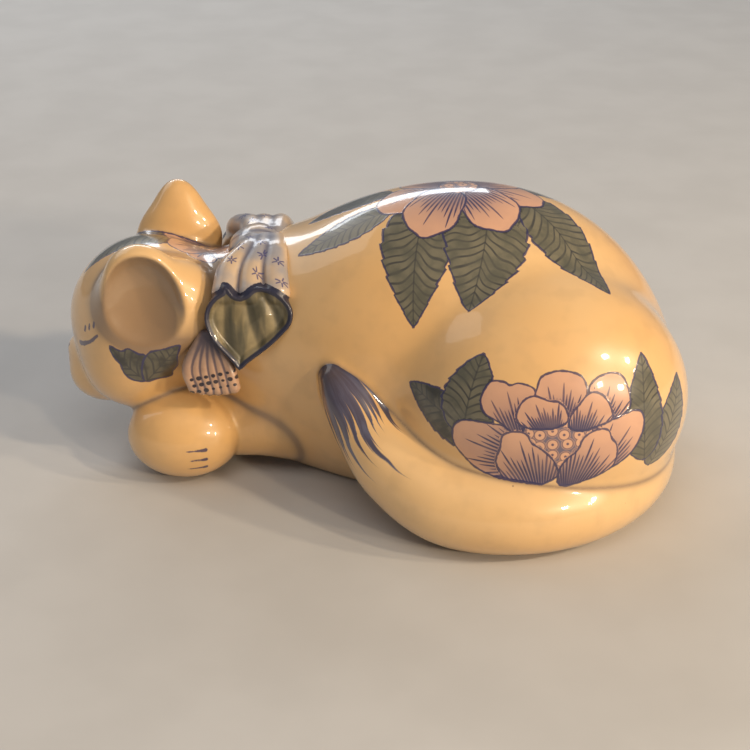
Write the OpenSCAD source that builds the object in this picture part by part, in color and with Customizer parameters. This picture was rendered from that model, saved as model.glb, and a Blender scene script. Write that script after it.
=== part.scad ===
// Sleeping cat figurine, hollow glazed ceramic, built from separately moulded castings.
// Frame: X along the cat with the nose towards -X, near side towards -Y, Z up.
// Origin: on the flat underside, below the middle of the length and the spine.

/* [Figure] */
// Length from nose to rump, mm
figure_length = 179; // [125:1:240]
// Thickness of the cast wall, mm
wall = 4; // [3:0.5:5]
// Thickness of the foot slab, mm
slab_t = 4; // [3:0.5:6]
// Kiln vent hole in the foot slab, mm
vent_d = 3; // [2:0.5:3.5]

/* [Body] */
// Height of the back above the table, at 179 mm length
back_h = 84; // [78:1:90]
// How far the near haunch stands out from the middle of the body
haunch_out = 49; // [46:1:52]
// Thickness of the tail where it lies on the table
tail_d = 24; // [20:1:26]

/* [Head] */
// Height of the ears above their roots
ear_rise = 12; // [9:1:15]
// Diameter of the near paw
paw_d = 25; // [22:1:28]

/* [Bow] */
// Width of the heart-shaped mouth of a bow loop
mouth_w = 25; // [22:1:27]
// Number of pleats in a ribbon end
ribbon_pleats = 6; // [4:1:7]

/* [Part] */
// Which sub-part to build

/* [Hidden] */

model_length = 179;
size_factor = figure_length / model_length;
model_wall = wall / size_factor;
model_slab = slab_t / size_factor;
model_vent = vent_d / size_factor;
facets = 30;
small_facets = 16;

glaze = "BurlyWood";
blush = "RosyBrown";
silver = "LightSteelBlue";
bisque = "AntiqueWhite";

// Every rounded volume is an egg: a centre and three half sizes.
rump = [[25, 9, 35.5], [56.5, 37, back_h - 34.5]];
rump_end = [[48, 2, 30], [39.5, 38, 37]];
loin = [[5, 13, 32], [42, 31, 43]];
chest = [[-13, 20, 29], [35, 25, 35.5]];
neck = [[-34, 17, 40], [19, 20, 22]];
near_shoulder = [[-20, 10, 23], [18, 14, 21]];
far_shoulder = [[-16, 30, 25], [22, 16, 23]];
haunch = [[46.5, -18, 33], [40.5, haunch_out - 18, 36]];
near_knee = [[30, -20, 24], [24, 22, 24]];
far_haunch = [[44, 18, 25], [37, 30, 30]];
far_knee = [[24, 26, 20], [26, 22, 20]];

skull = [[-65, 15, 43], [21, 24, 22.5]];
brow = [[-70, 17, 42], [18.5, 19, 18.5]];
throat = [[-55, 16, 41], [17, 18, 19]];
nose_bridge = [[-77, 17, 38], [12, 10, 11]];
muzzle = [[-81, 17.5, 29.5], [10.5, 10, 9]];
jaw = [[-79, 16, 24], [12, 12, 9]];
near_cheek = [[-70, 6.5, 33], [14, 13, 13.5]];
near_jowl = [[-74, 9, 28], [12, 10.5, 11]];
far_cheek = [[-66, 26, 33], [14, 13, 14]];
far_jowl = [[-71, 25, 28], [12, 10.5, 11]];

// The head and the body meet on this plane, the two body halves on the seam.
neck_x = -42;
seam_y = 14;
reach = 200;

// Tail path, from the root behind the rump to the tip on the near flank:
// three coordinates and the radius there as a share of the tail radius.
tail_r = tail_d / 2;
tail_stations = [
    [71, 28, 13, 1.00], [75, 5, 13, 1.00], [71.5, -20, 12.5, 1.00],
    [58, -36, 12, 1.00], [39, -43, 12, 1.00], [20, -40.5, 13, 1.00],
    [6.5, -33, 18.5, 0.90], [-1.5, -25.5, 25.5, 0.75],
    [-7.2, -21, 33, 0.56], [-11.4, -18.2, 38.4, 0.28]
];
tail_steps = 3;

function station(i) = tail_stations[max(0, min(len(tail_stations) - 1, i))];

// A smooth curve through four stations in a row, from the second to the third.
function curve(a, b, c, d, t) =
    0.5 * (2 * b + (c - a) * t + (2 * a - 5 * b + 4 * c - d) * t * t
        + (3 * b - a - 3 * c + d) * t * t * t);

tail_path = [
    for (i = [0 : len(tail_stations) - 2], step = [0 : tail_steps - 1])
        curve(station(i - 1), station(i), station(i + 1), station(i + 2), step / tail_steps),
    station(len(tail_stations) - 1)
];

near_paw = [[-55.3, -4, 13], [16.5, paw_d / 2, paw_d / 2]];
near_wrist = [[-44, 3, 13], [11, 11, 11]];
near_elbow = [[-23, 1, 16], [12, 12, 13]];
far_paw = [[-62, 27, 11], [14, 10.5, 10.5]];
far_wrist = [[-50, 27, 12], [11, 10, 10]];
far_elbow = [[-24, 30, 14], [12, 11, 12]];

module egg(shape, inset = 0, steps = facets)
    translate(shape[0])
        scale([for (half = shape[1]) half - inset])
            sphere(r = 1, $fn = steps);

module ball(centre, radius, steps = small_facets)
    translate(centre)
        sphere(r = radius, $fn = steps);

module bridge(first, second, inset = 0)
    hull() {
        egg(first, inset);
        egg(second, inset);
    }

module body_form(inset) {
    bridge(rump_end, rump, inset);
    bridge(rump, loin, inset);
    bridge(loin, chest, inset);
    bridge(chest, neck, inset);
    bridge(chest, near_shoulder, inset);
    bridge(chest, far_shoulder, inset);
    bridge(haunch, near_knee, inset);
    bridge(far_haunch, far_knee, inset);
}

module head_form(inset) {
    bridge(skull, brow, inset);
    bridge(throat, neck, inset);
    bridge(brow, nose_bridge, inset);
    bridge(nose_bridge, muzzle, inset);
    bridge(muzzle, jaw, inset);
    bridge(jaw, throat, inset);
    bridge(near_cheek, near_jowl, inset);
    bridge(far_cheek, far_jowl, inset);
}

module behind_neck()
    translate([neck_x, -reach, 0])
        cube([reach, 2 * reach, reach]);

module before_neck()
    translate([neck_x - reach, -reach, 0])
        cube([reach, 2 * reach, reach]);

module near_side()
    translate([-reach, seam_y - reach, 0])
        cube([2 * reach, reach, reach]);

module far_side()
    translate([-reach, seam_y, 0])
        cube([2 * reach, reach, reach]);

module above_table()
    translate([-reach, -reach, 0])
        cube([2 * reach, 2 * reach, reach]);

module body_solid()
    intersection() {
        body_form(0);
        behind_neck();
    }

module head_solid()
    intersection() {
        head_form(0);
        before_neck();
    }

module body_shell()
    difference() {
        body_solid();
        body_form(model_wall);
    }

// A piece luted on to the outside: trimmed where it meets the head or the body.
module luted()
    difference() {
        intersection() {
            union() children();
            above_table();
        }
        body_solid();
        head_solid();
    }

module body_left_half()
    color(glaze) scale(size_factor)
        intersection() {
            body_shell();
            near_side();
        }

module body_right_half()
    color(glaze) scale(size_factor)
        intersection() {
            body_shell();
            far_side();
        }

// The slab fills the open underside of the two body halves.
module base_slab()
    color(bisque) scale(size_factor)
        difference() {
            intersection() {
                body_form(model_wall);
                behind_neck();
                translate([-reach, -reach, 0])
                    cube([2 * reach, 2 * reach, model_slab]);
            }
            translate([rump[0][0], seam_y / 2, -1])
                cylinder(d = model_vent, h = model_slab + 2, $fn = 32);
        }

module head_shell()
    color(glaze) scale(size_factor)
        difference() {
            head_solid();
            head_form(model_wall);
        }

module ear(root, tip, cup_root, cup_tip)
    difference() {
        bridge(root, tip);
        bridge(cup_root, cup_tip);
    }

module left_ear()
    color(glaze) scale(size_factor)
        luted()
            ear(
                [[-63.5, -0.5, 52], [14.5, 9, 11]],
                [[-65, -1.5, 53 + ear_rise], [9, 6, 7]],
                [[-66.5, -10.5, 51], [13, 8.5, 11.5]],
                [[-66.5, -9, 51.5 + ear_rise], [7, 6, 7]]
            );

module right_ear()
    color(glaze) scale(size_factor)
        luted()
            ear(
                [[-58, 31, 59], [12, 7, 9]],
                [[-58, 34, 58.5 + ear_rise], [6, 4, 6]],
                [[-61, 41, 58], [9.5, 7, 9]],
                [[-60, 41, 56 + ear_rise], [4.5, 5, 5]]
            );

module left_foreleg()
    color(glaze) scale(size_factor)
        luted() {
            bridge(near_elbow, near_wrist);
            bridge(near_wrist, near_paw);
        }

module right_foreleg()
    color(glaze) scale(size_factor)
        difference() {
            luted() {
                bridge(far_elbow, far_wrist);
                bridge(far_wrist, far_paw);
            }
            bridge(near_elbow, near_wrist);
            bridge(near_wrist, near_paw);
        }

module tail_point(i)
    ball([tail_path[i][0], tail_path[i][1], tail_path[i][2]], tail_r * tail_path[i][3], 20);

module tail()
    color(glaze) scale(size_factor)
        luted()
            for (i = [0 : len(tail_path) - 2])
                hull() {
                    tail_point(i);
                    tail_point(i + 1);
                }

// The knot is gathered into folds lying over the nape.
knot_folds = 5;
knot_centre = [-33.5, 18, 59.5];
knot_half = [8.8, 10, 9];
fold_r = 3.6;

module knot_form()
    for (i = [0 : knot_folds - 1])
        let (lean = -62 + 31 * i)
        translate(knot_centre)
            rotate([lean, 0, 0])
                hull() {
                    ball([-knot_half[0] + 3.4, 0, knot_half[2] - 3.4], fold_r);
                    ball([knot_half[0] - 3.4, 0, knot_half[2] - 3.4], fold_r);
                    ball([0, 0, knot_half[2] - 2.4], fold_r);
                }

module bow_knot()
    color(silver) scale(size_factor)
        luted() knot_form();

// A bow loop: pleats running down from the knot to a heart-shaped mouth.
loop_pleats = 3;
drape_r = 2.8;
pleat_r = 3.7;
pleat_rise = 0.6;
// Rows across the drape, from the knot down to the mouth: Y, Z, half width and middle X.
drape_rows = [[13, 63.6, 2.6, -32], [4, 63, 5.2, -33], [-4.5, 58, 7.2, -34.2]];
mouth_centre = [-34.2, -10.5, 51];
mouth_lean = 15;
mouth_t = 6;
rim_w = 1.5;
rim_h = 1.5;
// Outline of a mouth 25 mm wide, walked round clockwise from its left side:
// a heart with a curled left lobe and its tip left of the middle.
heart_width = 25;
heart_corners = [
    [-12.8, 1.5], [-12.2, 5], [-10, 8], [-7.5, 9.8], [-6, 10.2], [-4.5, 8.6],
    [-2.7, 8], [-0.8, 9], [0.6, 10.2], [3, 10.7], [7.4, 9.3], [10.7, 6],
    [11.7, 3], [11, 0], [9.2, -2.2], [5.8, -5.6], [2.2, -8.4], [-1, -10.8],
    [-3.4, -12.4], [-5.2, -10.6], [-8, -7.6], [-10.4, -4.8], [-12, -1.6]
];

// A point on the drape, from -1 at its edge near the head to 1 at its other edge.
function drape_point(row, across, rise) =
    let (
        spot = drape_rows[row],
        out = [spot[0] - neck[0][1], spot[1] - neck[0][2]],
        lift = rise * out / norm(out)
    )
    [spot[3] + across * spot[2], spot[0] + lift[0], spot[1] + lift[1]];

module drape()
    for (row = [0 : len(drape_rows) - 2])
        hull()
            for (edge = [-1, 1], next = [0, 1])
                ball(drape_point(row + next, edge, 0), drape_r);

module loop_pleat(across)
    for (row = [0 : len(drape_rows) - 2])
        hull()
            for (next = [0, 1])
                ball(drape_point(row + next, across, pleat_rise), pleat_r);

module mouth_outline()
    scale(mouth_w / heart_width)
        polygon(heart_corners);

module mouth_form()
    translate(mouth_centre)
        rotate([90 - mouth_lean, 0, 0])
            difference() {
                translate([0, 0, -mouth_t])
                    linear_extrude(mouth_t)
                        mouth_outline();
                translate([0, 0, -rim_h])
                    linear_extrude(rim_h + 1)
                        offset(delta = -rim_w)
                            mouth_outline();
            }

module loop_form() {
    drape();
    for (i = [0 : loop_pleats - 1])
        loop_pleat(2 * i / (loop_pleats - 1) - 1);
    mouth_form();
}

// The ribbon end is a fan of pleats hanging below the mouth.
fan_top = [-46.5, -7, 46];
fan_knee = [-46.5, -11, 39];
fan_foot = [-45, -12.2, 32];
fan_spread = 11;
fan_r = 2;

module ribbon_form()
    for (i = [0 : ribbon_pleats - 1])
        let (share = i / (ribbon_pleats - 1) - 0.5)
        hull() {
            ball(fan_top + [2 * share, 0, 0], fan_r, 10);
            ball(fan_knee + [fan_spread * share, 0, 0], fan_r, 10);
            ball(fan_foot + [fan_spread * share, 0, 4 * share * share], fan_r, 10);
        }

// The far side of the bow mirrors the near side about the middle of the neck.
module to_far_side()
    translate([0, 2 * neck[0][1], 0])
        mirror([0, 1, 0])
            children();

module left_bow_loop()
    color(silver) scale(size_factor)
        difference() {
            luted() loop_form();
            knot_form();
        }

module left_ribbon_end()
    color(blush) scale(size_factor)
        difference() {
            luted() ribbon_form();
            loop_form();
            bridge(near_elbow, near_wrist);
            bridge(near_wrist, near_paw);
        }

module right_bow_loop()
    color(silver) scale(size_factor)
        difference() {
            luted() to_far_side() loop_form();
            knot_form();
        }

module right_ribbon_end()
    color(blush) scale(size_factor)
        difference() {
            luted() to_far_side() ribbon_form();
            to_far_side() loop_form();
            bridge(far_elbow, far_wrist);
            bridge(far_wrist, far_paw);
        }

body_left_half();
body_right_half();
base_slab();
head_shell();
left_ear();
right_ear();
left_foreleg();
right_foreleg();
tail();
bow_knot();
left_bow_loop();
left_ribbon_end();
right_bow_loop();
right_ribbon_end();
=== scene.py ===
"""Looks of the sleeping cat: glazed surface, modelled bow, painted flowers, studio light."""

import math

import bpy
import numpy as np
import openvdb
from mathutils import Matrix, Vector


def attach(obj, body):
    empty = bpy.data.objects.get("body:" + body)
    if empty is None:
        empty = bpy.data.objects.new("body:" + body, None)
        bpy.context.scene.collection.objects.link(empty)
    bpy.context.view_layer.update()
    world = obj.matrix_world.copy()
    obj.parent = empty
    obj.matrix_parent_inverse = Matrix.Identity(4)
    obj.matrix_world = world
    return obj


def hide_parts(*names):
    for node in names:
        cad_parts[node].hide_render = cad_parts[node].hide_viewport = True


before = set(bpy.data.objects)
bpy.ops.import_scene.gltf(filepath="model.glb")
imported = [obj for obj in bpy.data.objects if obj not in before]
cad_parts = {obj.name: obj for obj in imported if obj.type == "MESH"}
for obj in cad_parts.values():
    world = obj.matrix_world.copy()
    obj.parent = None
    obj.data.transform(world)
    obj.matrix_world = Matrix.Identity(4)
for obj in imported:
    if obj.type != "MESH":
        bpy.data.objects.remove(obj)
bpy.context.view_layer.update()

# All shapes are worked out in millimetres and turned into metres when a mesh is made.
METRE = 0.001
rng = np.random.default_rng(7)


def floats(values):
    return np.array(values, np.float32)


FLIP_SIDES = floats([1, -1, 1])


# ---------------- camera
VIEW_TARGET = (0, 0, 30)
VIEW_DISTANCE = 420
VIEW_HEIGHT_DEG = 28
LENS = 70


def place_camera():
    lift = math.radians(VIEW_HEIGHT_DEG)
    target = Vector(VIEW_TARGET)
    place = target + VIEW_DISTANCE * Vector((0, -math.cos(lift), math.sin(lift)))
    data = bpy.data.cameras.new("camera")
    data.lens = LENS
    data.clip_start = 0.01
    camera = bpy.data.objects.new("camera", data)
    camera.location = place * METRE
    camera.rotation_euler = (target - place).to_track_quat("-Z", "Y").to_euler()
    bpy.context.scene.collection.objects.link(camera)
    bpy.context.scene.camera = camera


place_camera()


# ---------------- shape as distance fields
def egg(p, centre, half):
    """Signed distance, near the surface, to a sphere stretched to three half sizes."""
    q = p - floats(centre)
    half = floats(half)
    near = np.linalg.norm(q / half, axis=-1)
    slope = np.linalg.norm(q / (half * half), axis=-1)
    return near * (near - 1) / np.maximum(slope, 1e-6)


def join(a, b, soft):
    """Union of two fields with a fillet."""
    if soft <= 0:
        return np.minimum(a, b)
    reach = 1.5 * soft
    h = np.maximum(reach - np.abs(a - b), 0) / reach
    return np.minimum(a, b) - h * h * h * reach / 6


def cut(a, b, soft):
    """Field a without field b, with a rounded edge."""
    return -join(-a, b, soft)


def mirrored(points, y):
    """Points on the other side of an upright plane at y."""
    return points * FLIP_SIDES + floats([0, 2 * y, 0])


def join_eggs(p, eggs):
    field = egg(p, eggs[0][0], eggs[0][1])
    for centre, half, soft in eggs[1:]:
        field = join(field, egg(p, centre, half), soft)
    return field


def smooth_rows(s, steps):
    """Points of a smooth curve through all but the first and last rows of s."""
    rows = []
    for a, b, c, d in zip(s, s[1:], s[2:], s[3:]):
        for t in np.arange(steps) / steps:
            rows.append(
                0.5 * (2 * b + (c - a) * t + (2 * a - 5 * b + 4 * c - d) * t**2
                       + (3 * b - a - 3 * c + d) * t**3)
            )
    return rows


def spline(stations, steps):
    """Smooth curve through stations; every column is interpolated alike."""
    s = np.array(stations, float)
    s = np.vstack([2 * s[0] - s[1], s, 2 * s[-1] - s[-2]])
    return floats(smooth_rows(s, steps) + [s[-2]])


def rope(p, path):
    """Distance to round cones strung along rows of x, y, z and radius."""
    best = np.full(p.shape[:-1], 1e6, np.float32)
    for start, end in zip(path[:-1], path[1:]):
        step = end[:3] - start[:3]
        t = np.clip(((p - start[:3]) @ step) / float(step @ step), 0, 1)
        away = np.linalg.norm(p - (start[:3] + t[..., None] * step), axis=-1)
        best = np.minimum(best, away - (start[3] + t * (end[3] - start[3])))
    return best


# Centre, half sizes and the softness of the blend with the eggs before it.
BODY = [
    ((25, 9, 35.5), (56.5, 37, 48.5), 0),
    ((48, 2, 29), (37.5, 37, 36), 8),
    ((5, 14, 32), (42, 30, 43), 10),
    ((-13, 20, 29), (35, 25, 35.5), 12),
    ((-34, 17, 40), (19, 20, 22), 14),
    ((-20, 10, 23), (18, 14, 21), 8),
    ((-16, 30, 25), (22, 16, 23), 8),
    ((44, 18, 25), (38, 30, 30), 10),
]
HAUNCH = [((46, -17.5, 33), (40, 31.5, 35.5), 0)]
HEAD = [
    ((-65, 15, 43), (21, 24, 22.5), 0),
    ((-55, 16, 41), (17, 18, 19), 6),
    ((-70, 17, 42), (18.5, 19, 18.5), 6),
    ((-70, 7, 31), (13.5, 13.5, 12.5), 8),
    ((-66, 26, 33), (14, 13, 14), 5),
    ((-80.5, 17, 29), (10.5, 10.5, 9), 2.5),
    ((-79, 16, 24), (12, 12, 9), 2.5),
    ((-88.3, 17.5, 30.8), (2.6, 3.2, 2.2), 2),
]
NEAR_EAR = [
    ((-62, -0.6, 52.6), (14.2, 9.2, 12.6), 0),
    ((-65, -2.5, 61.5), (9.5, 6, 10), 6),
    ((-53.5, 2, 50), (8.5, 9, 13), 6),
]
NEAR_CUP = [((-65.4, -15, 54.2), (14.8, 12.4, 13.6), 0), ((-64.3, -11, 60.5), (10, 10, 10), 5)]
FAR_EAR = [((-58, 31.5, 60), (12.5, 6.5, 10), 0), ((-58, 33.5, 68), (6, 4.5, 9), 8)]
FAR_CUP = [((-60, 41, 57), (10, 8, 10), 0), ((-60, 41, 66), (5, 6, 8), 6)]
PAW = [((-55.3, -4, 13), (16.5, 12.5, 12.8), 0)]
FOREARM = spline([(-44, 4, 13.5, 11), (-34, 3, 14, 11), (-25, 2, 15, 12)], 6)
FAR_LEG = spline([(-62, 27, 11, 10.5), (-50, 27, 12, 10), (-24, 30, 14, 11)], 6)
TAIL_STATIONS = [
    (71, 28, 13, 12), (75, 5, 13, 12), (71.5, -20, 12.5, 12), (58, -36, 12, 12),
    (39, -43, 12, 12), (20, -40.5, 13, 12), (6.5, -33, 18.5, 10.8),
    (-1.5, -26, 25.5, 9), (-7, -22.2, 33.6, 7.2), (-11, -20, 39.4, 3.9),
]
TAIL_ROUGH = spline(TAIL_STATIONS, 2)
TAIL = spline(TAIL_STATIONS, 20)
SEAM_Y = 14


def tail_field(p):
    field = rope(p, TAIL_ROUGH)
    close = field < 4
    field[close] = rope(p[close], TAIL)
    return field


# Name of each part, its field and the softness of the glaze fillet around it.
PARTS = [
    ("body", lambda p: join(join_eggs(p, BODY), join_eggs(p, HAUNCH), 6), 0),
    ("head", lambda p: cut(join_eggs(p, HEAD), join_eggs(p, NEAR_CUP), 6), 9),
    ("left_ear", lambda p: cut(join_eggs(p, NEAR_EAR), join_eggs(p, NEAR_CUP), 1.5), 7),
    ("right_ear", lambda p: cut(join_eggs(p, FAR_EAR), join_eggs(p, FAR_CUP), 3), 3),
    ("left_foreleg", lambda p: join(join_eggs(p, PAW), rope(p, FOREARM), 1.5), 4),
    ("right_foreleg", lambda p: rope(p, FAR_LEG), 5),
    ("tail", tail_field, 3.5),
]


def solid_field(p):
    """The whole cat above and below the table."""
    field = PARTS[0][1](p)
    for _, part, soft in PARTS[1:]:
        field = join(field, part(p), soft)
    return field


def cat_field(p):
    """The whole cat, cut flat at the table with a slightly rounded lower edge."""
    return -join(-solid_field(p), p[..., 2], 1.5)


# ---------------- fields to meshes
def gradient(field, points, reach=0.1):
    steps = np.eye(3, dtype=np.float32) * reach
    parts = [field(points + s) - field(points - s) for s in steps]
    return np.stack(parts, -1) / (2 * reach)


def halve(points, quads):
    """Split every four-sided face into four."""
    ahead = np.roll(quads, -1, 1)
    low, high = np.minimum(quads, ahead), np.maximum(quads, ahead)
    keys = low.astype(np.int64) * len(points) + high
    edges, which = np.unique(keys.ravel(), return_inverse=True)
    ends = np.stack([edges // len(points), edges % len(points)], -1)
    middles = points[ends].mean(1)
    centres = points[quads].mean(1)
    mid = len(points) + which.reshape(-1, 4)
    centre = len(points) + len(edges) + np.arange(len(quads))
    new = [np.stack([quads[:, i], mid[:, i], centre, mid[:, i - 1]], -1) for i in range(4)]
    return np.vstack([points, middles, centres]), np.concatenate(new)


GRID_BAND = 4
SETTLE_PASSES = 3


def surface(field, low, high, step, splits=1):
    """Four-sided mesh of a field's surface: points, faces and smooth normals."""
    axes = [np.arange(a, b + step, step, dtype=np.float32) for a, b in zip(low, high)]
    grid = np.empty([len(a) for a in axes], np.float32)
    yy, zz = np.meshgrid(axes[1], axes[2], indexing="ij")
    for i, x in enumerate(axes[0]):
        grid[i] = field(np.stack([np.full_like(yy, x), yy, zz], -1))
    band = step * GRID_BAND
    volume = openvdb.FloatGrid(float(band))
    volume.copyFromArray(np.clip(grid, -band, band))
    points, quads = volume.convertToQuads(0)
    points = points.astype(np.float32) * step + floats(low)
    quads = quads.astype(np.int64)
    for _ in range(splits):
        points, quads = halve(points, quads)
        points = points.astype(np.float32)
    for _ in range(SETTLE_PASSES):
        slope = gradient(field, points)
        size = np.maximum((slope**2).sum(-1), 0.2)
        move = np.clip(field(points) / size, -step, step)
        points = points - move[:, None] * slope
    normals = gradient(field, points)
    normals /= np.linalg.norm(normals, axis=-1, keepdims=True) + 1e-9
    corners = points[quads]
    facing = np.cross(corners[:, 2] - corners[:, 0], corners[:, 3] - corners[:, 1])
    if (facing * normals[quads[:, 0]]).sum() < 0:
        quads = quads[:, ::-1]
    return points, quads, normals


def shell(points, quads, normals, thickness):
    """Close an open patch of surface with an inner skin and a rim."""
    used, flat = np.unique(quads, return_inverse=True)
    faces = flat.reshape(-1, 4)
    outer, out = points[used], normals[used]
    count = len(used)
    ahead = np.roll(faces, -1, 1)
    here = faces.ravel() * count + ahead.ravel()
    there = ahead.ravel() * count + faces.ravel()
    edge = ~np.isin(here, there)
    a, b = faces.ravel()[edge], ahead.ravel()[edge]
    rim = np.stack([b, a, a + count, b + count], -1)
    all_points = np.vstack([outer, outer - out * thickness])
    all_faces = np.vstack([faces, faces[:, ::-1] + count, rim])
    corners = all_points[rim]
    flat_way = np.cross(corners[:, 2] - corners[:, 0], corners[:, 3] - corners[:, 1])
    flat_way /= np.linalg.norm(flat_way, axis=-1, keepdims=True) + 1e-9
    loop_normals = np.vstack([
        out[faces.ravel()],
        -out[faces[:, ::-1].ravel()],
        np.repeat(flat_way, 4, 0),
    ])
    return all_points, all_faces, loop_normals, used


def mesh_object(name, points, faces, loop_normals, materials, second=None):
    """Four-sided mesh; the faces marked in second take the second material."""
    mesh = bpy.data.meshes.new(name)
    mesh.vertices.add(len(points))
    mesh.vertices.foreach_set("co", (points * METRE).astype(np.float32).ravel())
    mesh.loops.add(faces.size)
    mesh.loops.foreach_set("vertex_index", faces.ravel().astype(np.int32))
    mesh.polygons.add(len(faces))
    mesh.polygons.foreach_set("loop_start", np.arange(0, faces.size, 4, dtype=np.int32))
    mesh.update(calc_edges=True)
    mesh.validate()
    mesh.polygons.foreach_set("use_smooth", np.ones(len(faces), bool))
    mesh.normals_split_custom_set(loop_normals.astype(float).tolist())
    for material in materials:
        mesh.materials.append(material)
    if second is not None:
        mesh.polygons.foreach_set("material_index", second.astype(np.int32))
    piece = bpy.data.objects.new(name, mesh)
    bpy.context.scene.collection.objects.link(piece)
    return piece


def put_values(piece, name, columns):
    """Store up to four numbers for each point, for the material to read."""
    values = np.zeros((len(columns[0]), 4), np.float32)
    for i, column in enumerate(columns):
        values[:, i] = column
    store = piece.data.attributes.new(name, "FLOAT_COLOR", "POINT")
    store.data.foreach_set("color", values.ravel())


# ---------------- painting
# Distance stored where nothing is painted, and how many rows of petals and leaves there are.
FAR = 9.0
ROWS = 4
LEAF_ROWS = 2
# Tones that tell the material what a shape is; leaves run from -1, plain, to -0.6, shaded.
PETAL_TONE = 1.0
HEART_TONE = 2.0
PETAL_LOBES = 5
PETAL_WAVE = 0.04
LEAF_TEETH = 8


class Paint:
    """What the painter put at each point of a surface.

    Petals lie in four rows and leaves in two. Each row keeps its own signed distance, so that
    every outline stays sharp between the points of the mesh; later rows cover earlier ones.
    """

    def __init__(self, points, normals):
        self.points, self.normals = points, normals
        count = len(points)
        self.rows = np.full((ROWS, count), FAR, np.float32)
        self.leaves = np.full((LEAF_ROWS, count), FAR, np.float32)
        self.stroke = np.full(count, FAR, np.float32)
        # Painted shade: how dark each point is drawn in the creases between parts and inside the
        # ear cups.
        self.pool = np.zeros(count, np.float32)
        self.map = np.zeros((4, count), np.float32)
        self.brush = np.zeros((3, count), np.float32)

    def fill(self, flat, away, rows, row, mapping):
        """Lay one petal or leaf in its row; away is below 0 inside it."""
        here = flat[0]
        away = np.maximum(away, flat[3])
        rows[row, here] = np.minimum(rows[row, here], away)
        covered = away < 0.25
        index = np.nonzero(here)[0][covered]
        for i, values in enumerate(mapping):
            self.map[i, index] = values[covered] if np.ndim(values) else values

    def ink(self, here, away):
        self.stroke[here] = np.minimum(self.stroke[here], away)

    def store(self, piece, used, copies):
        def spread(values, blank=0.0):
            return np.concatenate([values[used]] + [np.full(len(used), blank)] * copies)

        put_values(piece, "paint_rows", [spread(row, FAR) for row in self.rows])
        put_values(piece, "paint_under", [
            spread(self.leaves[0], FAR), spread(self.leaves[1], FAR),
            spread(self.stroke, FAR), spread(self.pool),
        ])
        put_values(piece, "paint_map", [spread(row) for row in self.map])
        put_values(piece, "paint_brush", [spread(row) for row in self.brush])


class Patch:
    """A painter's flat map of the surface round one point."""

    def __init__(self, centre, facing, up, size=60, mirror_y=None):
        self.centre = floats(centre)
        self.facing = floats(facing)
        self.facing /= np.linalg.norm(self.facing)
        rise = floats(up)
        rise = rise - rise @ self.facing * self.facing
        self.up = rise / np.linalg.norm(rise)
        self.right = np.cross(self.up, self.facing)
        self.size = size
        if mirror_y is not None:
            self.centre = mirrored(self.centre, mirror_y)
            self.facing, self.up, self.right = (
                way * FLIP_SIDES for way in (self.facing, self.up, self.right)
            )

    def flatten(self, paint, keep_off=None):
        """Flat coordinates of nearby points, and how far they are past a border."""
        away = paint.points - self.centre
        distance = np.linalg.norm(away, axis=-1)
        here = (distance < self.size) & (paint.normals @ self.facing > -0.25)
        away, distance = away[here], distance[here]
        a, b = away @ self.right, away @ self.up
        stretch = distance / np.maximum(np.hypot(a, b), 1e-6)
        border = keep_off[here] if keep_off is not None else np.full(len(a), -FAR)
        return here, a * stretch, b * stretch, border


def closed_curve(outline, steps=3):
    """Rounded closed line through the corners of an outline."""
    s = np.array(outline, float)
    return np.array(smooth_rows(np.vstack([s[-1], s, s[:2]]), steps), np.float32)


def outline_distance(a, b, curve):
    """Signed distance to a closed line, below 0 inside."""
    best = np.full(a.shape, FAR**2, np.float32)
    inside = np.zeros(a.shape, bool)
    for (x0, y0), (x1, y1) in zip(curve, np.roll(curve, -1, 0)):
        dx, dy = x1 - x0, y1 - y0
        t = np.clip(((a - x0) * dx + (b - y0) * dy) / (dx * dx + dy * dy + 1e-9), 0, 1)
        best = np.minimum(best, (a - x0 - t * dx) ** 2 + (b - y0 - t * dy) ** 2)
        crosses = (y0 > b) != (y1 > b)
        inside ^= crosses & (a < x0 + (b - y0) / (dy if dy else 1e-9) * dx)
    return np.sqrt(best) * np.where(inside, -1, 1)


def along_axis(flat, base, tip):
    """How far along and aside of a line from base to tip, and its length."""
    a, b = flat[1], flat[2]
    axis = np.subtract(tip, base)
    length = np.hypot(*axis)
    ux, uy = axis / length
    along = (a - base[0]) * ux + (b - base[1]) * uy
    across = -(a - base[0]) * uy + (b - base[1]) * ux
    return along, across, length


def petal_map(flat, base, tip):
    """Angle round the foot of a petal, distance from it, share of its length and tone."""
    along, across, length = along_axis(flat, base, tip)
    behind = along + 0.45 * length
    share = np.hypot(along, across) / length
    return np.arctan2(across, behind), np.hypot(across, behind), share, PETAL_TONE


def drawn_petal(paint, flat, row, base, tip, outline):
    """A petal with its outline drawn corner by corner."""
    away = outline_distance(flat[1], flat[2], closed_curve(outline))
    paint.fill(flat, away, paint.rows, row, petal_map(flat, base, tip))


def petal(paint, flat, row, base, tip, half, notch=0.08, turn=0.0):
    """A rounded petal with a wavy rim and a small notch at its tip."""
    along, across, length = along_axis(flat, base, tip)
    x = along - 0.56 * length
    angle = np.arctan2(across, x)
    out = np.where(x > 0, 0.44, 0.56) * length
    limit = 1 / np.sqrt((np.cos(angle) / out)**2 + (np.sin(angle) / half)**2)
    limit *= 1 + PETAL_WAVE * np.cos(PETAL_LOBES * angle + turn)
    limit *= 1 - notch * np.exp(-((angle - turn * 0.3) / 0.22)**2)
    away = (np.hypot(x, across) - limit) * 0.93
    paint.fill(flat, away, paint.rows, row, petal_map(flat, base, tip))


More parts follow.
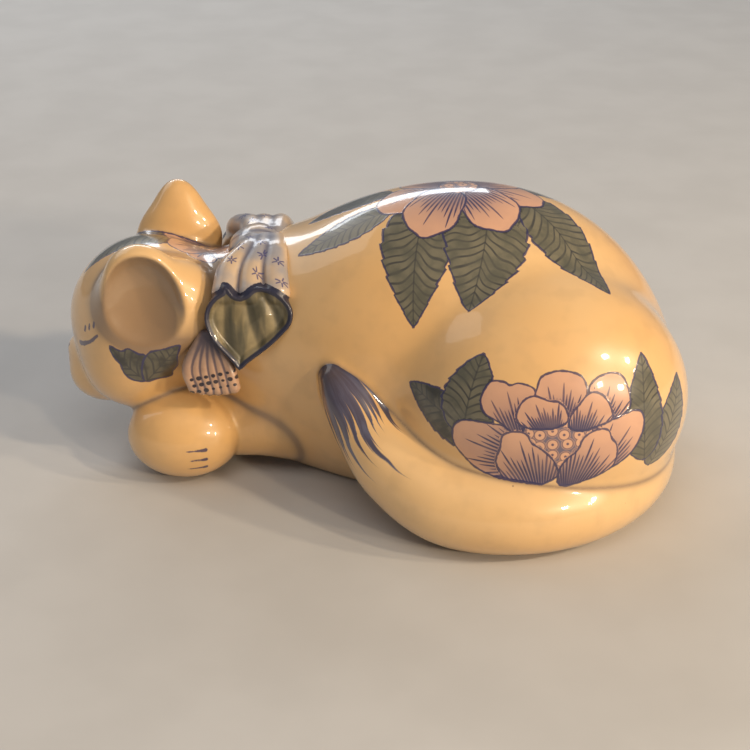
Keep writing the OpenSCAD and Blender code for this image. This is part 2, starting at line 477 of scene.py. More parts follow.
def leaf(paint, flat, row, base, tip, half, bend=0.0, tone=-1.0, point=0.8):
    """A pointed leaf with a saw-toothed rim, bent by a share of its length."""
    along, across, length = along_axis(flat, base, tip)
    t = np.clip(along / length, 0, 1)
    across = across - bend * length * 4 * t * (1 - t)
    profile = half * np.maximum(np.sin(math.pi * t**0.72), 0)**point
    saw = (t * LEAF_TEETH + 0.3 * np.sign(across)) % 1
    profile = profile * (1.03 - 0.09 * saw) + 0.1
    away = np.maximum(np.abs(across) - profile, np.maximum(-along, along - length)) * 0.85
    paint.fill(flat, away, paint.leaves, row, (across, along, along / length, tone))


def flower_heart(paint, flat, row, centre, half):
    """The middle of a flower, where the material draws rings of stamens."""
    a, b = flat[1] - centre[0], flat[2] - centre[1]
    away = (np.hypot(a / half[0], b / half[1]) - 1) * min(half)
    paint.fill(flat, away, paint.rows, row, (a, b, 0.5, HEART_TONE))


def brush(paint, flat, stops, start, end):
    """A stroke of ink through flat points; start and end are its half widths."""
    here, a, b = flat[:3]
    best = np.full(len(a), FAR, np.float32)
    pieces = len(stops) - 1
    for i in range(pieces):
        x0, y0 = stops[i]
        dx, dy = np.subtract(stops[i + 1], stops[i])
        t = np.clip(((a - x0) * dx + (b - y0) * dy) / (dx * dx + dy * dy), 0, 1)
        width = start + (end - start) * (i + t) / pieces
        best = np.minimum(best, np.hypot(a - x0 - t * dx, b - y0 - t * dy) - width)
    paint.ink(here, best)


# The haunch peony: row, foot and tip of each petal, then its outline, from the flower's middle.
HAUNCH_PETALS = [
    (0, (1.5, 4.8), (2, 18.4), [
        (-3, 8.5), (-5.5, 11.9), (-5, 14.7), (-4, 17.4), (-0.5, 18.8), (3, 18.8), (6.5, 17.6),
        (8, 14.7), (7.5, 11), (3, 7.6),
    ]),
    (0, (12.5, -9), (22, 5.5), [
        (12, 5), (15.5, 6.4), (18.5, 6.6), (21, 7.2), (23.5, 6.4), (24.5, 3.5), (24, 0), (22, -4),
        (19, -7), (14, -9), (12, -3),
    ]),
    (0, (-8, -5), (-26.5, -0.5), [
        (-8, 4.5), (-14, 4.4), (-18.5, 4.4), (-23, 4.2), (-25.8, 3), (-27, 0.4), (-26.5, -3.5),
        (-24, -6.5), (-20.5, -9.5), (-16, -11), (-10, -12), (-8, -4),
    ]),
    (1, (-9, 1), (-13.5, 15.8), [
        (-9.5, 2), (-14.5, 5), (-18.5, 7), (-19.6, 10.4), (-18.2, 14), (-16.5, 15.6),
        (-13.5, 15.6), (-12, 14.9), (-10, 15.6), (-7.5, 15.2), (-5.5, 14), (-6, 11), (-7.5, 5.8),
    ]),
    (1, (11, 3.9), (15, 16.8), [
        (9, 11), (8.5, 13.5), (9, 15.4), (11.5, 17.2), (15.5, 17.8), (18, 16.6), (19.5, 13.5),
        (20, 8.5), (16, 5.8), (12, 6.7),
    ]),
    (2, (-2, 2), (-6, 12.2), [
        (-5, 3.9), (-9, 4.8), (-10.2, 7.6), (-8.5, 11.2), (-5.5, 12.6), (-2, 11.4), (0.5, 11.2),
        (2.5, 9.3), (3, 6.2), (0, 4.4),
    ]),
    (2, (-4.5, -14), (-10, 3.4), [
        (-15, -6.5), (-14, -2), (-13.5, 1.5), (-10.5, 2.9), (-7.5, 2.5), (-6, 0), (-3, -2),
        (-0.5, -4.5), (1, -7.5), (1.5, -10), (-3.5, -13), (-8.5, -14), (-13, -11),
    ]),
    (3, (6.5, 1), (10, 13), [
        (3.5, 4.4), (4, 8), (6, 10.4), (8, 12.7), (10, 13.4), (12.5, 12.2), (14.5, 9), (15, 5.8),
        (11, 4.4), (7, 3.4),
    ]),
    (3, (6, -13), (11, 3.9), [
        (1.5, -8.5), (3, -5), (6, -2), (7.5, 1.5), (11, 3.4), (14, 2.9), (15, 0.5), (16.5, -1.5),
        (17, -5), (15.5, -9), (9, -12), (2, -13),
    ]),
]


# Row, foot, tip, half width, and then a leaf's bend, tone and point or a petal's notch and turn.
HAUNCH_LEAVES = [
    (0, (-19, -2), (-41.5, 9.5), 6.4, -0.03, -0.7, 0.7),
    (1, (-24, -1), (-19.5, 22), 7.4, 0.04, -1, 0.7),
    (0, (28, -12), (38, 13), 6.2, -0.06), (1, (26, -9), (24.8, 21.5), 6.2, 0.03, -0.9),
]
BACK_LEAVES = [
    (0, (-18, -7), (-47, -7.5), 4.6, 0.05), (1, (-18, 3), (-43, 5), 5.0, -0.05, -0.8),
    (0, (-7.5, -6), (-15.8, -41), 10.6, -0.03), (1, (8, -6), (2.4, -40.5), 12, 0.05),
    (0, (12, -2), (42, -32), 9, 0.08), (1, (-8, 11), (-14, 38), 9.0),
    (0, (9, 10), (7, 40), 9.5, 0, -0.9), (1, (13, 4), (40, 22), 7.6),
]
BACK_PETALS = [
    (0, (2, 1), (24.5, -3), 6.4), (0, (-2, 1), (-22.5, -6), 6.6), (0, (0, 2), (2, 19), 7.5),
    (1, (2, 2), (17, 13), 7.5), (1, (-1, 2), (-14, 14), 7.5),
    (2, (1.5, -1.5), (14.5, -16.5), 7.8, 0.07, 0.4), (3, (-1, -1.5), (-12, -18.5), 7.8, 0.07, -0.4),
]
CROWN_LEAVES = [(0, (-9, -1), (-35, -8), 6.6, -0.05), (1, (-8, 5), (-26, 12), 5.0, 0.05, -0.85)]
CROWN_PETALS = [
    (0, (0, 1), (-2, 12), 5.4), (0, (0, -2), (-3, -11.5), 5.0), (1, (-1, 0), (-13.5, 4), 5.2, 0.03),
    (2, (-1, -1), (-11.5, -6.5), 5.2, 0.03), (2, (1, 1), (9, 6), 4.6), (1, (1, -1), (8, -6.5), 4.4),
]


def haunch_flower(paint, flat):
    """A peony seen from the side, its petals laid over its heart."""
    for shape in HAUNCH_LEAVES:
        leaf(paint, flat, *shape)
    flower_heart(paint, flat, 0, (2, -1), (12, 9.5))
    for shape in HAUNCH_PETALS:
        drawn_petal(paint, flat, *shape)


def open_flower(paint, flat, leaves, petals, middle, half):
    """A flower seen from above, its heart laid over its petals."""
    for shape in leaves:
        leaf(paint, flat, *shape)
    for shape in petals:
        petal(paint, flat, *shape)
    flower_heart(paint, flat, 3, middle, half)


CHEEK_LEAF_LEFT = [(0.5, 2), (-1.5, 2.5), (-4.5, 4), (-6.5, 3), (-10, 4), (-9, 1), (-7, -1),
                   (-6, -4), (-3.5, -6), (0, -6.5), (2, -5)]
CHEEK_LEAF_RIGHT = [(0, 1.5), (2, 3.5), (4, 4), (6, 4.5), (10, 5.5), (9.5, 3), (9, 1), (9, -2),
                    (7.5, -4), (7, -6), (3, -6), (-0.5, -6.5), (-1, -2)]


def cheek_leaves(paint, patch):
    """A pair of dark leaves that meet in the middle like wings."""
    flat = patch.flatten(paint)
    for row, outline, tip in ((0, CHEEK_LEAF_LEFT, (-10, 4)), (1, CHEEK_LEAF_RIGHT, (10, 5.5))):
        away = outline_distance(flat[1], flat[2], closed_curve(outline))
        along, across, length = along_axis(flat, (0, -6.5), tip)
        paint.fill(flat, away, paint.leaves, row, (across, along, along / length, -0.6))


def face_lines(paint, patch):
    flat = patch.flatten(paint)
    brush(paint, flat, [(-22, -0.4), (-20.2, 0.6), (-17.2, 2.8), (-14, 6.2)], 0.75, 0.3)
    for i in range(3):
        foot = (-19.6 + 2.1 * i, 5.4 + 1.5 * i)
        brush(paint, flat, [foot, (foot[0] + 0.4, foot[1] + 1.6)], 0.3, 0.22)


def claw_lines(paint, patch, way=1):
    flat = patch.flatten(paint)
    for height in (3.4, 0.2, -2.9):
        stops = [(5 * way, height), (3.4 * way, height), (-0.5 * way, height)]
        brush(paint, flat, stops, 0.5, 0.05)


BRUSH_REACH = 44.0


def tail_brush(paint, border):
    """How near each point is to the tip of the tail, and its angle round the tail."""
    near = rope(paint.points, TAIL_ROUGH) < 3.5
    p = paint.points[near]
    steps = np.linalg.norm(np.diff(TAIL[:, :3], axis=0), axis=-1)
    left = np.concatenate([[0], np.cumsum(steps[::-1])])[::-1]
    best = np.full(len(p), 1e6, np.float32)
    from_tip, turn = np.zeros((2, len(p)), np.float32)
    for i in range(len(TAIL) - 1):
        start, step = TAIL[i, :3], TAIL[i + 1, :3] - TAIL[i, :3]
        t = np.clip(((p - start) @ step) / float(step @ step), 0, 1 if i < len(TAIL) - 2 else 4)
        off = p - (start + t[:, None] * step)
        away = np.linalg.norm(off, axis=-1) - TAIL[i, 3]
        closer = away < best
        way = step / np.linalg.norm(step)
        side = np.cross(way, (0, 0, 1))
        side /= np.linalg.norm(side)
        top = np.cross(side, way)
        best[closer] = away[closer]
        from_tip[closer] = (left[i] - t * steps[i])[closer]
        turn[closer] = np.arctan2(off @ side, off @ top)[closer]
    paint.brush[0, near] = np.maximum(BRUSH_REACH - 4 - from_tip, 0)
    paint.brush[1, near] = turn
    paint.brush[2, near] = border[near]


def paint_cat(points, normals):
    paint = Paint(points, normals)
    fields = np.stack([part(points) for _, part, _ in PARTS])
    body, head, near_ear, far_ear, tail = fields[0], fields[1], fields[2], fields[3], fields[6]
    # Painted shade: darker in the fillets between parts, and inside the ear cups, most near their
    # upper rims.
    paint.pool = np.clip(fields.min(0) / 0.8, 0, 1)
    for ear, cup in ((near_ear, NEAR_CUP), (far_ear, FAR_CUP)):
        depth = np.clip(1 - join_eggs(points, cup) / 1.2, 0, 1)
        deep = np.clip((points[:, 2] - cup[0][0][2] + 13) / 14, 0, 1)
        paint.pool = np.maximum(paint.pool, depth * deep * np.clip(1.3 - ear / 12, 0, 1))
    off_tail = (body - tail) * 0.6 + 0.2
    off_ears = (head - np.minimum(near_ear, far_ear)) * 0.6 + 0.2
    near_haunch = Patch((46.2, -48.9, 36), (0, -1, 0.07), (0, 0, 1), size=46)
    far_haunch = Patch((42, 46, 32), (0, 1, 0.1), (0, 0, 1), size=46)
    for patch in (near_haunch, far_haunch):
        haunch_flower(paint, patch.flatten(paint, off_tail))
    back = Patch((22.6, 9.1, 84), (0, 0, 1), (0, 1, 0), size=56)
    open_flower(paint, back.flatten(paint), BACK_LEAVES, BACK_PETALS, (0.5, 1), (5.5, 4.5))
    crown = Patch((-48.5, 21, 60), (0.2, 0, 1), (0, 1, 0), size=38)
    flat = crown.flatten(paint, off_ears)
    open_flower(paint, flat, CROWN_LEAVES, CROWN_PETALS, (0, 0), (3, 3))
    cheek = ((-64.4, -8.7, 38.7), (0.08, -0.99, -0.13), (0, 0, 1))
    for mirror_y in (None, 16):
        side = Patch(*cheek, size=30, mirror_y=mirror_y)
        cheek_leaves(paint, side)
        face_lines(paint, side)
    claw_lines(paint, Patch((-53, -16, 10.6), (0.2, -0.97, -0.1), (0, 0, 1), size=10))
    claw_lines(paint, Patch((-60, 37, 10), (0, 1, 0), (0, 0, 1), size=10), -1)
    flat = Patch((-91, 17.5, 31), (-1, 0, 0.1), (0, 0, 1), size=12).flatten(paint)
    brush(paint, flat, [(-1.8, 1), (0, -0.6), (1.8, 1)], 0.5, 0.5)
    brush(paint, flat, [(0, -0.6), (0, -4)], 0.3, 0.3)
    for way in (-1, 1):
        brush(paint, flat, [(0, -4), (2.2 * way, -5.4), (4.6 * way, -5)], 0.35, 0.25)
    tail_brush(paint, body - tail)
    return paint


# ---------------- material helpers
BUMP_HEIGHT = 0.0004


class Net:
    """Short names for the shader nodes used here."""

    def __init__(self, name):
        self.material = bpy.data.materials.new(name)
        self.material.use_nodes = True
        self.tree = self.material.node_tree
        self.shader = self.tree.nodes["Principled BSDF"]

    def node(self, kind, inputs, output=0, **settings):
        """One output of a new node, once its inputs are fed."""
        made = self.tree.nodes.new("ShaderNode" + kind)
        for key, value in settings.items():
            setattr(made, key, value)
        for name, value in inputs.items():
            self.feed(made.inputs[name], value)
        return made.outputs[output]

    def feed(self, socket, value):
        if isinstance(value, bpy.types.NodeSocket):
            self.tree.links.new(value, socket)
        elif isinstance(value, tuple):
            socket.default_value = (*value, 1)
        else:
            socket.default_value = value

    def math(self, kind, a, b=0.0):
        return self.node("Math", {0: a, 1: b}, operation=kind)

    def add(self, a, b):
        return self.math("ADD", a, b)

    def sub(self, a, b):
        return self.math("SUBTRACT", a, b)

    def mul(self, a, b):
        return self.math("MULTIPLY", a, b)

    def fade(self, value, low, high, start=0.0, end=1.0):
        """Smooth step of value between low and high."""
        inputs = dict(enumerate((value, low, high, start, end)))
        return self.node("MapRange", inputs, interpolation_type="SMOOTHSTEP")

    def mix(self, share, a, b):
        return self.node("Mix", {0: share, 6: a, 7: b}, 2, data_type="RGBA")

    def wash(self, ground, value, low, high, colour, share=1.0):
        """Lay a colour over the ground as value goes from low to high."""
        return self.mix(self.fade(value, low, high, 0.0, share), ground, colour)

    def noise(self, scale, detail=2.0, where=None):
        inputs = {"Scale": scale, "Detail": detail, "Vector": where or self.place()}
        return self.node("TexNoise", inputs)

    def place(self):
        if not hasattr(self, "_place"):
            self._place = self.node("TexCoord", {}, "Object")
        return self._place

    def cells(self, scale, where, randomness=1.0, **settings):
        """Distance to the nearest of many scattered points."""
        inputs = {"Scale": scale, "Vector": where, "Randomness": randomness}
        return self.node("TexVoronoi", inputs, "Distance", feature="F1", **settings)

    def pair(self, a, b):
        """A point made of two numbers, for a texture to read."""
        return self.node("CombineXYZ", {0: a, 1: b})

    def size(self, a):
        return self.math("ABSOLUTE", a)

    def larger(self, a, b):
        return self.math("MAXIMUM", a, b)

    def from_stripe(self, lines):
        """Distance to the middle of a stripe, where there is one for each whole number."""
        return self.size(self.sub(self.math("FRACT", lines), 0.5))

    def chance(self, lines):
        """A random number for each stripe."""
        inputs = {"W": self.math("FLOOR", lines)}
        return self.node("TexWhiteNoise", inputs, "Value", noise_dimensions="1D")

    def set(self, name, value):
        self.feed(self.shader.inputs[name], value)

    def stored(self, name):
        """The four numbers kept for each point under a name."""
        made = self.tree.nodes.new("ShaderNodeAttribute")
        made.attribute_name = name
        parts = self.tree.nodes.new("ShaderNodeSeparateColor")
        self.feed(parts.inputs[0], made.outputs["Color"])
        return [*parts.outputs, made.outputs["Alpha"]]

    def bump(self, height, strength):
        inputs = {"Strength": strength, "Distance": BUMP_HEIGHT, "Height": height}
        return self.node("Bump", inputs)

    def line(self, away, half, soft=0.07):
        """A painted line along the zero of a signed distance."""
        return self.fade(self.sub(self.size(away), half), soft, -soft)

    def inside(self, away):
        return self.fade(away, 0.06, -0.06)

    def glaze(self, colour, rough=0.28, height=None, coat=1.0):
        """A clear gloss glaze over painted slip."""
        peel = self.noise(420, 2.0)
        drift = self.noise(38, 2.0)
        relief = self.add(self.mul(peel, 0.10), self.mul(drift, 0.6))
        if height is not None:
            relief = self.add(relief, height)
        way = self.bump(relief, 0.35)
        self.set("Base Color", colour)
        self.set("Roughness", self.fade(drift, 0.2, 0.8, rough, rough + 0.08))
        self.set("Coat Weight", coat)
        self.set("Coat Roughness", self.fade(peel, 0.3, 0.7, 0.03, 0.06))
        self.set("Coat IOR", 1.5)
        self.set("Normal", way)
        self.set("Coat Normal", way)
        return self.material


INK = (0.030, 0.028, 0.095)
SLIP = (0.775, 0.460, 0.180)
SLIP_PALE = (0.785, 0.515, 0.245)
# Dark brown, used both for random drifts of tone in the slip and for painted shade in creases and
# ear cups.
DARK_TONE_AND_SHADE = (0.19, 0.125, 0.085)
PETAL_PALE = (0.68, 0.385, 0.245)
PETAL_DEEP = (0.50, 0.29, 0.215)
WASH = (0.15, 0.12, 0.17)
LEAF_LIGHT = (0.185, 0.165, 0.108)
LEAF_DARK = (0.105, 0.100, 0.070)
LEAF_SHADE = (0.034, 0.031, 0.023)
VEIN = (0.035, 0.035, 0.036)
BRUSH_BLUE = (0.020, 0.032, 0.090)


def slip_colour(net):
    """Cream slip with slow drifts of tone and a few iron specks."""
    cloud = net.noise(16, 3.0)
    ground = net.wash(SLIP, cloud, 0.35, 0.65, SLIP_PALE)
    ground = net.wash(ground, net.noise(150, 2.0), 0.45, 0.75, DARK_TONE_AND_SHADE, 0.10)
    size = net.fade(net.noise(23, 0.0), 0.55, 0.75, 0.0, 0.024)
    from_speck = net.sub(net.cells(75, net.place()), size)
    return net.wash(ground, from_speck, 0.004, -0.008, (0.16, 0.08, 0.04), 0.55)


# Hatch lines to a radian, and a shift that keeps the number of every stripe above 0.
HATCH = 16.0
STRIPE_SHIFT = 50.0


def petal_colour(net, angle, reach, share, tone):
    """Pink petal: deep foot with a blue wash, fanned hatching, a ring of stamens for tone 2."""
    cloud = net.noise(170, 3.0)
    bloom = net.wash(PETAL_DEEP, share, 0.35, 0.95, PETAL_PALE)
    bloom = net.wash(bloom, cloud, 0.35, 0.75, PETAL_DEEP, 0.35)
    bloom = net.wash(bloom, share, 0.66, 0.15, WASH, 0.6)
    lines = net.add(net.mul(angle, HATCH), STRIPE_SHIFT + 0.5)
    from_line = net.mul(net.mul(net.from_stripe(lines), 1 / HATCH), reach)
    left = net.sub(net.fade(net.chance(lines), 0.0, 1.0, 0.52, 0.88), share)
    thick = net.fade(left, -0.02, 0.20, 0.08, 0.27)
    hatch = net.mul(net.fade(net.sub(from_line, thick), 0.08, -0.08), net.fade(left, 0.0, 0.05))
    bloom = net.mix(net.mul(hatch, net.fade(cloud, 0.35, 0.6, 0.72, 0.92)), bloom, INK)

    distance = net.cells(0.31, net.pair(angle, reach), 0.45, voronoi_dimensions="2D")
    ring = net.line(net.sub(distance, 0.44), 0.04, 0.05)
    dot = net.fade(distance, 0.15, 0.08)
    button = net.wash(WASH, distance, 0.6, 0.42, PETAL_PALE)
    button = net.mix(net.mul(net.larger(ring, dot), 0.85), button, INK)
    return net.wash(bloom, tone, 1.4, 1.6, button)


def leaf_colour(net, across, along, tone):
    """Brushed green-grey leaf with dark ribs and a paler middle."""
    aside = net.size(across)
    brushed = net.noise(210, 3.0)
    green = net.wash(LEAF_DARK, brushed, 0.3, 0.7, LEAF_LIGHT)
    shade = net.mul(net.fade(tone, -1.0, -0.6), net.fade(brushed, 0.35, 0.6, 1.0, 0.45))
    green = net.mix(shade, green, LEAF_SHADE)
    bend = net.mul(net.sub(net.noise(110, 1.0), 0.5), 4.0)
    lean = net.mul(aside, net.fade(aside, 0.0, 9.0, 0.95, 0.45))
    ribs = net.add(net.mul(net.add(net.sub(along, lean), bend), 0.42), STRIPE_SHIFT)
    strength = net.fade(brushed, 0.35, 0.65, 0.35, 0.85)
    green = net.mix(net.mul(net.fade(net.from_stripe(ribs), 0.20, 0.06), strength), green, VEIN)
    return net.mix(net.mul(net.line(aside, 0.22, 0.12), 0.6), green, VEIN)


def tail_brush_colour(net, ground):
    """Blue strokes from the tip of the tail that split and thin out."""
    near, turn, border, _ = net.stored("paint_brush")
    left = net.sub(BRUSH_REACH, near)
    total = 0.0
    for count, first, last, seed in ((19.0, 22.0, 43.0, 3.0), (31.0, 18.0, 34.0, 40.0)):
        sway = net.mul(net.sub(net.noise(70, 1.0), 0.5), 0.8)
        lines = net.add(net.add(net.mul(turn, count / (2 * math.pi)), sway), seed + STRIPE_SHIFT)
        stop = net.fade(net.chance(lines), 0.0, 1.0, first, last)
        room = net.sub(1.0, net.math("DIVIDE", left, stop))
        stroke = net.fade(net.sub(net.from_stripe(lines), net.mul(room, 0.78)), 0.05, -0.07)
        total = net.larger(total, stroke)
    streak = net.noise(1.0, 3.0, where=net.pair(net.mul(turn, 7.0), net.mul(near, 0.08)))
    blue = net.wash(BRUSH_BLUE, streak, 0.4, 0.65, (0.062, 0.080, 0.160))
    blue = net.wash(blue, left, 12.0, 4.0, (0.010, 0.010, 0.030), 0.7)
    shown = net.mul(net.mul(total, net.fade(near, 0.0, 2.0)), net.fade(border, -0.1, 0.15))
    return net.mix(net.mul(shown, 0.92), ground, blue)


def painted_glaze():
    net = Net("painted_glaze")
    rows = net.stored("paint_rows")
    leaf_back, leaf_front, stroke, pool = net.stored("paint_under")
    across, along, share, tone = net.stored("paint_map")
    wobble = net.noise(700, 1.0)
    colour = slip_colour(net)
    # Painted shade: browner in the creases between parts and inside the ear cups.
    colour = net.mix(net.mul(net.mul(pool, pool), 0.75), colour, DARK_TONE_AND_SHADE)
    colour = tail_brush_colour(net, colour)

    half = net.fade(wobble, 0.3, 0.7, 0.20, 0.36)
    line, covers = 0.0, []
    for group in ((leaf_back, leaf_front), rows):
        cover = 0.0
        for row in group:
            inside = net.inside(row)
            line = net.larger(net.mul(line, net.sub(1.0, inside)), net.line(row, half))
            cover = net.larger(cover, inside)
        covers.append(cover)
    leafy, bloomy = covers

    colour = net.mix(leafy, colour, leaf_colour(net, across, along, tone))
    colour = net.mix(bloomy, colour, petal_colour(net, across, along, share, tone))
    colour = net.mix(net.mul(line, 0.88), colour, INK)
    soft = net.fade(wobble, 0.3, 0.7, 0.06, 0.2)
    colour = net.wash(colour, net.sub(stroke, net.mul(wobble, 0.3)), soft, -0.2, INK, 0.9)
    relief = net.add(net.mul(net.larger(bloomy, leafy), 0.2), net.mul(line, 0.2))
    return net.glaze(colour, height=relief)


def bare_clay():
    net = Net("bare_clay")
    grain = net.noise(900, 4.0)
    blotch = net.noise(60, 3.0)
    colour = net.wash((0.62, 0.50, 0.38), blotch, 0.3, 0.7, (0.72, 0.61, 0.48))
    colour = net.wash(colour, grain, 0.55, 0.75, (0.35, 0.25, 0.17), 0.3)
    net.set("Base Color", colour)
    net.set("Roughness", net.fade(grain, 0.2, 0.8, 0.75, 0.92))
    net.set("Normal", net.bump(grain, 0.5))
    return net.material


def silver_glaze():
    """The outside of the bow: cream slip washed with grey-blue, and small blue sprigs."""
    net = Net("silver_glaze")
    _, _, stroke, _ = net.stored("paint_under")
    fold, _, _, _ = net.stored("paint_map")
    cloud = net.noise(95, 3.0)
    ground = net.wash((0.33, 0.31, 0.32), cloud, 0.35, 0.6, (0.58, 0.43, 0.29))
    ground = net.wash(ground, fold, 0.75, 0.0, (0.10, 0.10, 0.15), 0.8)
    colour = net.wash(ground, stroke, 0.1, -0.1, (0.045, 0.045, 0.16), 0.85)
    return net.glaze(colour, coat=0.45)


def mouth_glaze():
    """Olive lining of the bow's mouth with a blue rim."""
    net = Net("mouth_glaze")
    fold, rim, across, along = net.stored("paint_map")
    broad = net.noise(1.0, 2.0, where=net.pair(net.mul(across, 0.30), net.mul(along, 0.05)))
    cloud = net.noise(260, 3.0)
    light = net.wash((0.21, 0.165, 0.085), cloud, 0.3, 0.7, (0.29, 0.23, 0.12))
    dark = net.wash((0.10, 0.088, 0.052), cloud, 0.3, 0.7, (0.14, 0.12, 0.07))
    colour = net.wash(dark, broad, 0.42, 0.58, light)
    # Painted shade: darker in the valleys between the modelled folds.
    colour = net.wash(colour, fold, 0.45, 0.0, (0.04, 0.038, 0.025), 0.7)
    colour = net.wash(colour, rim, 1.55, 1.2, (0.018, 0.02, 0.05), 0.94)
    return net.glaze(colour, rough=0.35, coat=0.3)


def pink_glaze():
    """Ribbon end: pink slip, grey-blue pleat lines, rows of dots and a dark hem."""
    net = Net("pink_glaze")
    _, _, stroke, _ = net.stored("paint_under")
    fold, down, _, _ = net.stored("paint_map")
    cloud = net.noise(200, 3.0)
    ground = net.wash((0.40, 0.24, 0.155), cloud, 0.3, 0.7, (0.56, 0.34, 0.21))
    ground = net.wash(ground, down, 0.7, 0.2, (0.17, 0.135, 0.125), 0.65)
    ground = net.wash(ground, fold, 0.5, 0.1, (0.06, 0.05, 0.075), 0.8)
    colour = net.wash(ground, stroke, 0.1, -0.1, (0.012, 0.010, 0.02), 0.95)
    return net.glaze(colour)


# ---------------- cat pieces
FOOT_RING = 6.0
FOOT_SLAB = 4.0
VENT_RADIUS = 1.5
# The skin is unglazed below the first height; the slab closes it inside the ring, below the second.
BARE_BELOW = 0.25
SLAB_BELOW = 0.6
CAT_LOW, CAT_HIGH = (-94, -60, -3), (90, 52, 88)
CAT_STEP = 1.0
WALL = 3.0
THIN_WALLS = {
    "left_ear": 1.2, "right_ear": 1.2, "left_foreleg": 2.5, "right_foreleg": 2.5, "tail": 2.5,
}


def under_body(p):
    level = p.copy()
    level[..., 2] = 0
    return PARTS[0][1](level)


def build_cat():
    points, quads, normals = surface(cat_field, CAT_LOW, CAT_HIGH, CAT_STEP)
    centres = points[quads].mean(1)
    label = np.argmin(np.stack([part(centres) for _, part, _ in PARTS], -1), -1)
    slab = (centres[:, 2] < SLAB_BELOW) & (under_body(centres) < -FOOT_RING) & (label == 0)
    paint = paint_cat(points, normals)
    glaze, clay = painted_glaze(), bare_clay()
    for index, (name, _, _) in enumerate(PARTS):
        if name == "body":
            halves = centres[:, 1] < SEAM_Y
            groups = [("body_left_half", halves), ("body_right_half", ~halves)]
        elif name == "head":
            groups = [("head_shell", True)]
        else:
            groups = [(name, True)]
        for node, extra in groups:
            chosen = (label == index) & ~slab & extra
            build_piece(node, points, quads[chosen], normals, paint, glaze, clay)


def build_piece(node, points, quads, normals, paint, glaze, clay):
    wall = THIN_WALLS.get(node, WALL)
    all_points, faces, loop_normals, used = shell(points, quads, normals, wall)
    centres = all_points[faces].mean(1)
    bare = (centres[:, 2] < BARE_BELOW) | (np.arange(len(faces)) >= len(quads))
    piece = mesh_object("glazed_" + node, all_points, faces, loop_normals, [glaze, clay], bare)
    paint.store(piece, used, 1)
    finish(piece, node)


def finish(piece, node):
    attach(piece, "root")
    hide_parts(node)


def build_slab():
    def slab_field(p):
        level = np.abs(p[..., 2] - FOOT_SLAB / 2) - FOOT_SLAB / 2
        vent = np.hypot(p[..., 0] - 25, p[..., 1] - 7) - VENT_RADIUS
        disc = -join(-(under_body(p) + FOOT_RING + 0.1), -level, 0.8)
        return cut(disc, vent, 0.5)

    points, quads, normals = surface(slab_field, (-50, -45, -1), (90, 55, 5), 0.8)
    piece = mesh_object("foot_slab", points, quads, normals[quads.ravel()], [bare_clay()])
    finish(piece, "base_slab")


# ---------------- bow
NECK_Y, NECK_Z = 17, 40
MOUTH_CENTRE = floats([-34.2, -10.5, 51])
MOUTH_LEAN = math.radians(15)
# Rows of the loop from the knot to its mouth: y, z, half width and middle x.
DRAPE_ROWS = [
    (14, 64, 3.2, -31.5), (7, 64.2, 4.2, -32), (1, 61.8, 6.2, -34), (-4.5, 58, 7.2, -34.2),
]
PLEATS = 3
# Outline of the bow's mouth, mm across and up from its middle: a heart with a curled lobe.
MOUTH_OUTLINE = [
    (-12.8, 1.5), (-12.2, 5), (-10, 8), (-7.8, 9.4), (-7.2, 11), (-5.8, 10.3), (-4.5, 8.6),
    (-2.7, 8), (-0.8, 9), (0.6, 10.2), (3, 10.7), (7.4, 9.3), (10.7, 6), (11.7, 3), (11, 0),
    (9.2, -2.2), (5.8, -5.6), (2.2, -8.4), (-1, -10.8), (-3.4, -12.8), (-5.2, -10.6),
    (-8, -7.6), (-10.4, -4.8), (-12, -1.6),
]
MOUTH_CURVE = closed_curve(MOUTH_OUTLINE, 2)


def heart(a, b):
    """Distance to the outline of the bow's mouth, below 0 inside it."""
    return outline_distance(a, b, MOUTH_CURVE)


def mouth_axes():
    facing = floats([0, -math.cos(MOUTH_LEAN), math.sin(MOUTH_LEAN)])
    up = floats([0, math.sin(MOUTH_LEAN), math.cos(MOUTH_LEAN)])
    return facing, up


def mouth_fold(a, b):
    """Height of the soft folds inside the mouth, from -1 to 1."""
    return np.cos(2 * math.pi * (a + 0.25 * b + 0.04 * a * b) / 7.4 + 2.2)


def mouth_field(p):
    facing, up = mouth_axes()
    q = p - MOUTH_CENTRE
    a, b, w = q[..., 0], q @ up, q @ facing
    away = heart(a, b)
    deep = np.clip((-away - 0.9) / 2.0, 0, 1)
    deep = deep * deep * (3 - 2 * deep)
    crown = 0.9 * np.clip((-away - 2.2) / 6, 0, 1)
    face = -1.5 * deep + crown + 0.3 * mouth_fold(a, b) * deep
    face = face + 0.4 * np.exp(-((away + 0.5) / 0.5) ** 2)
    body = -join(-away, -(w - face), 0.7)
    return -join(-body, w + 6, 0.8)


PLEAT_RADIUS = 3.7


def pleat_paths():
    paths = []
    for i in range(PLEATS):
        across = 2 * i / (PLEATS - 1) - 1
        rows = []
        for y, z, half, middle in DRAPE_ROWS:
            out = np.array([y - NECK_Y, z - NECK_Z], float)
            out *= 0.6 / np.linalg.norm(out)
            rows.append((middle + across * half, y + out[0], z + out[1], PLEAT_RADIUS))
        paths.append(spline(rows, 5))
    return paths


def drape_field(p):
    field = rope(p, spline([(middle, y, z, 2.6) for y, z, _, middle in DRAPE_ROWS], 5))
    for path in pleat_paths():
        field = join(field, rope(p, path), 0.9)
    return field


def loop_field(p):
    return join(drape_field(p), mouth_field(p), 0.8)


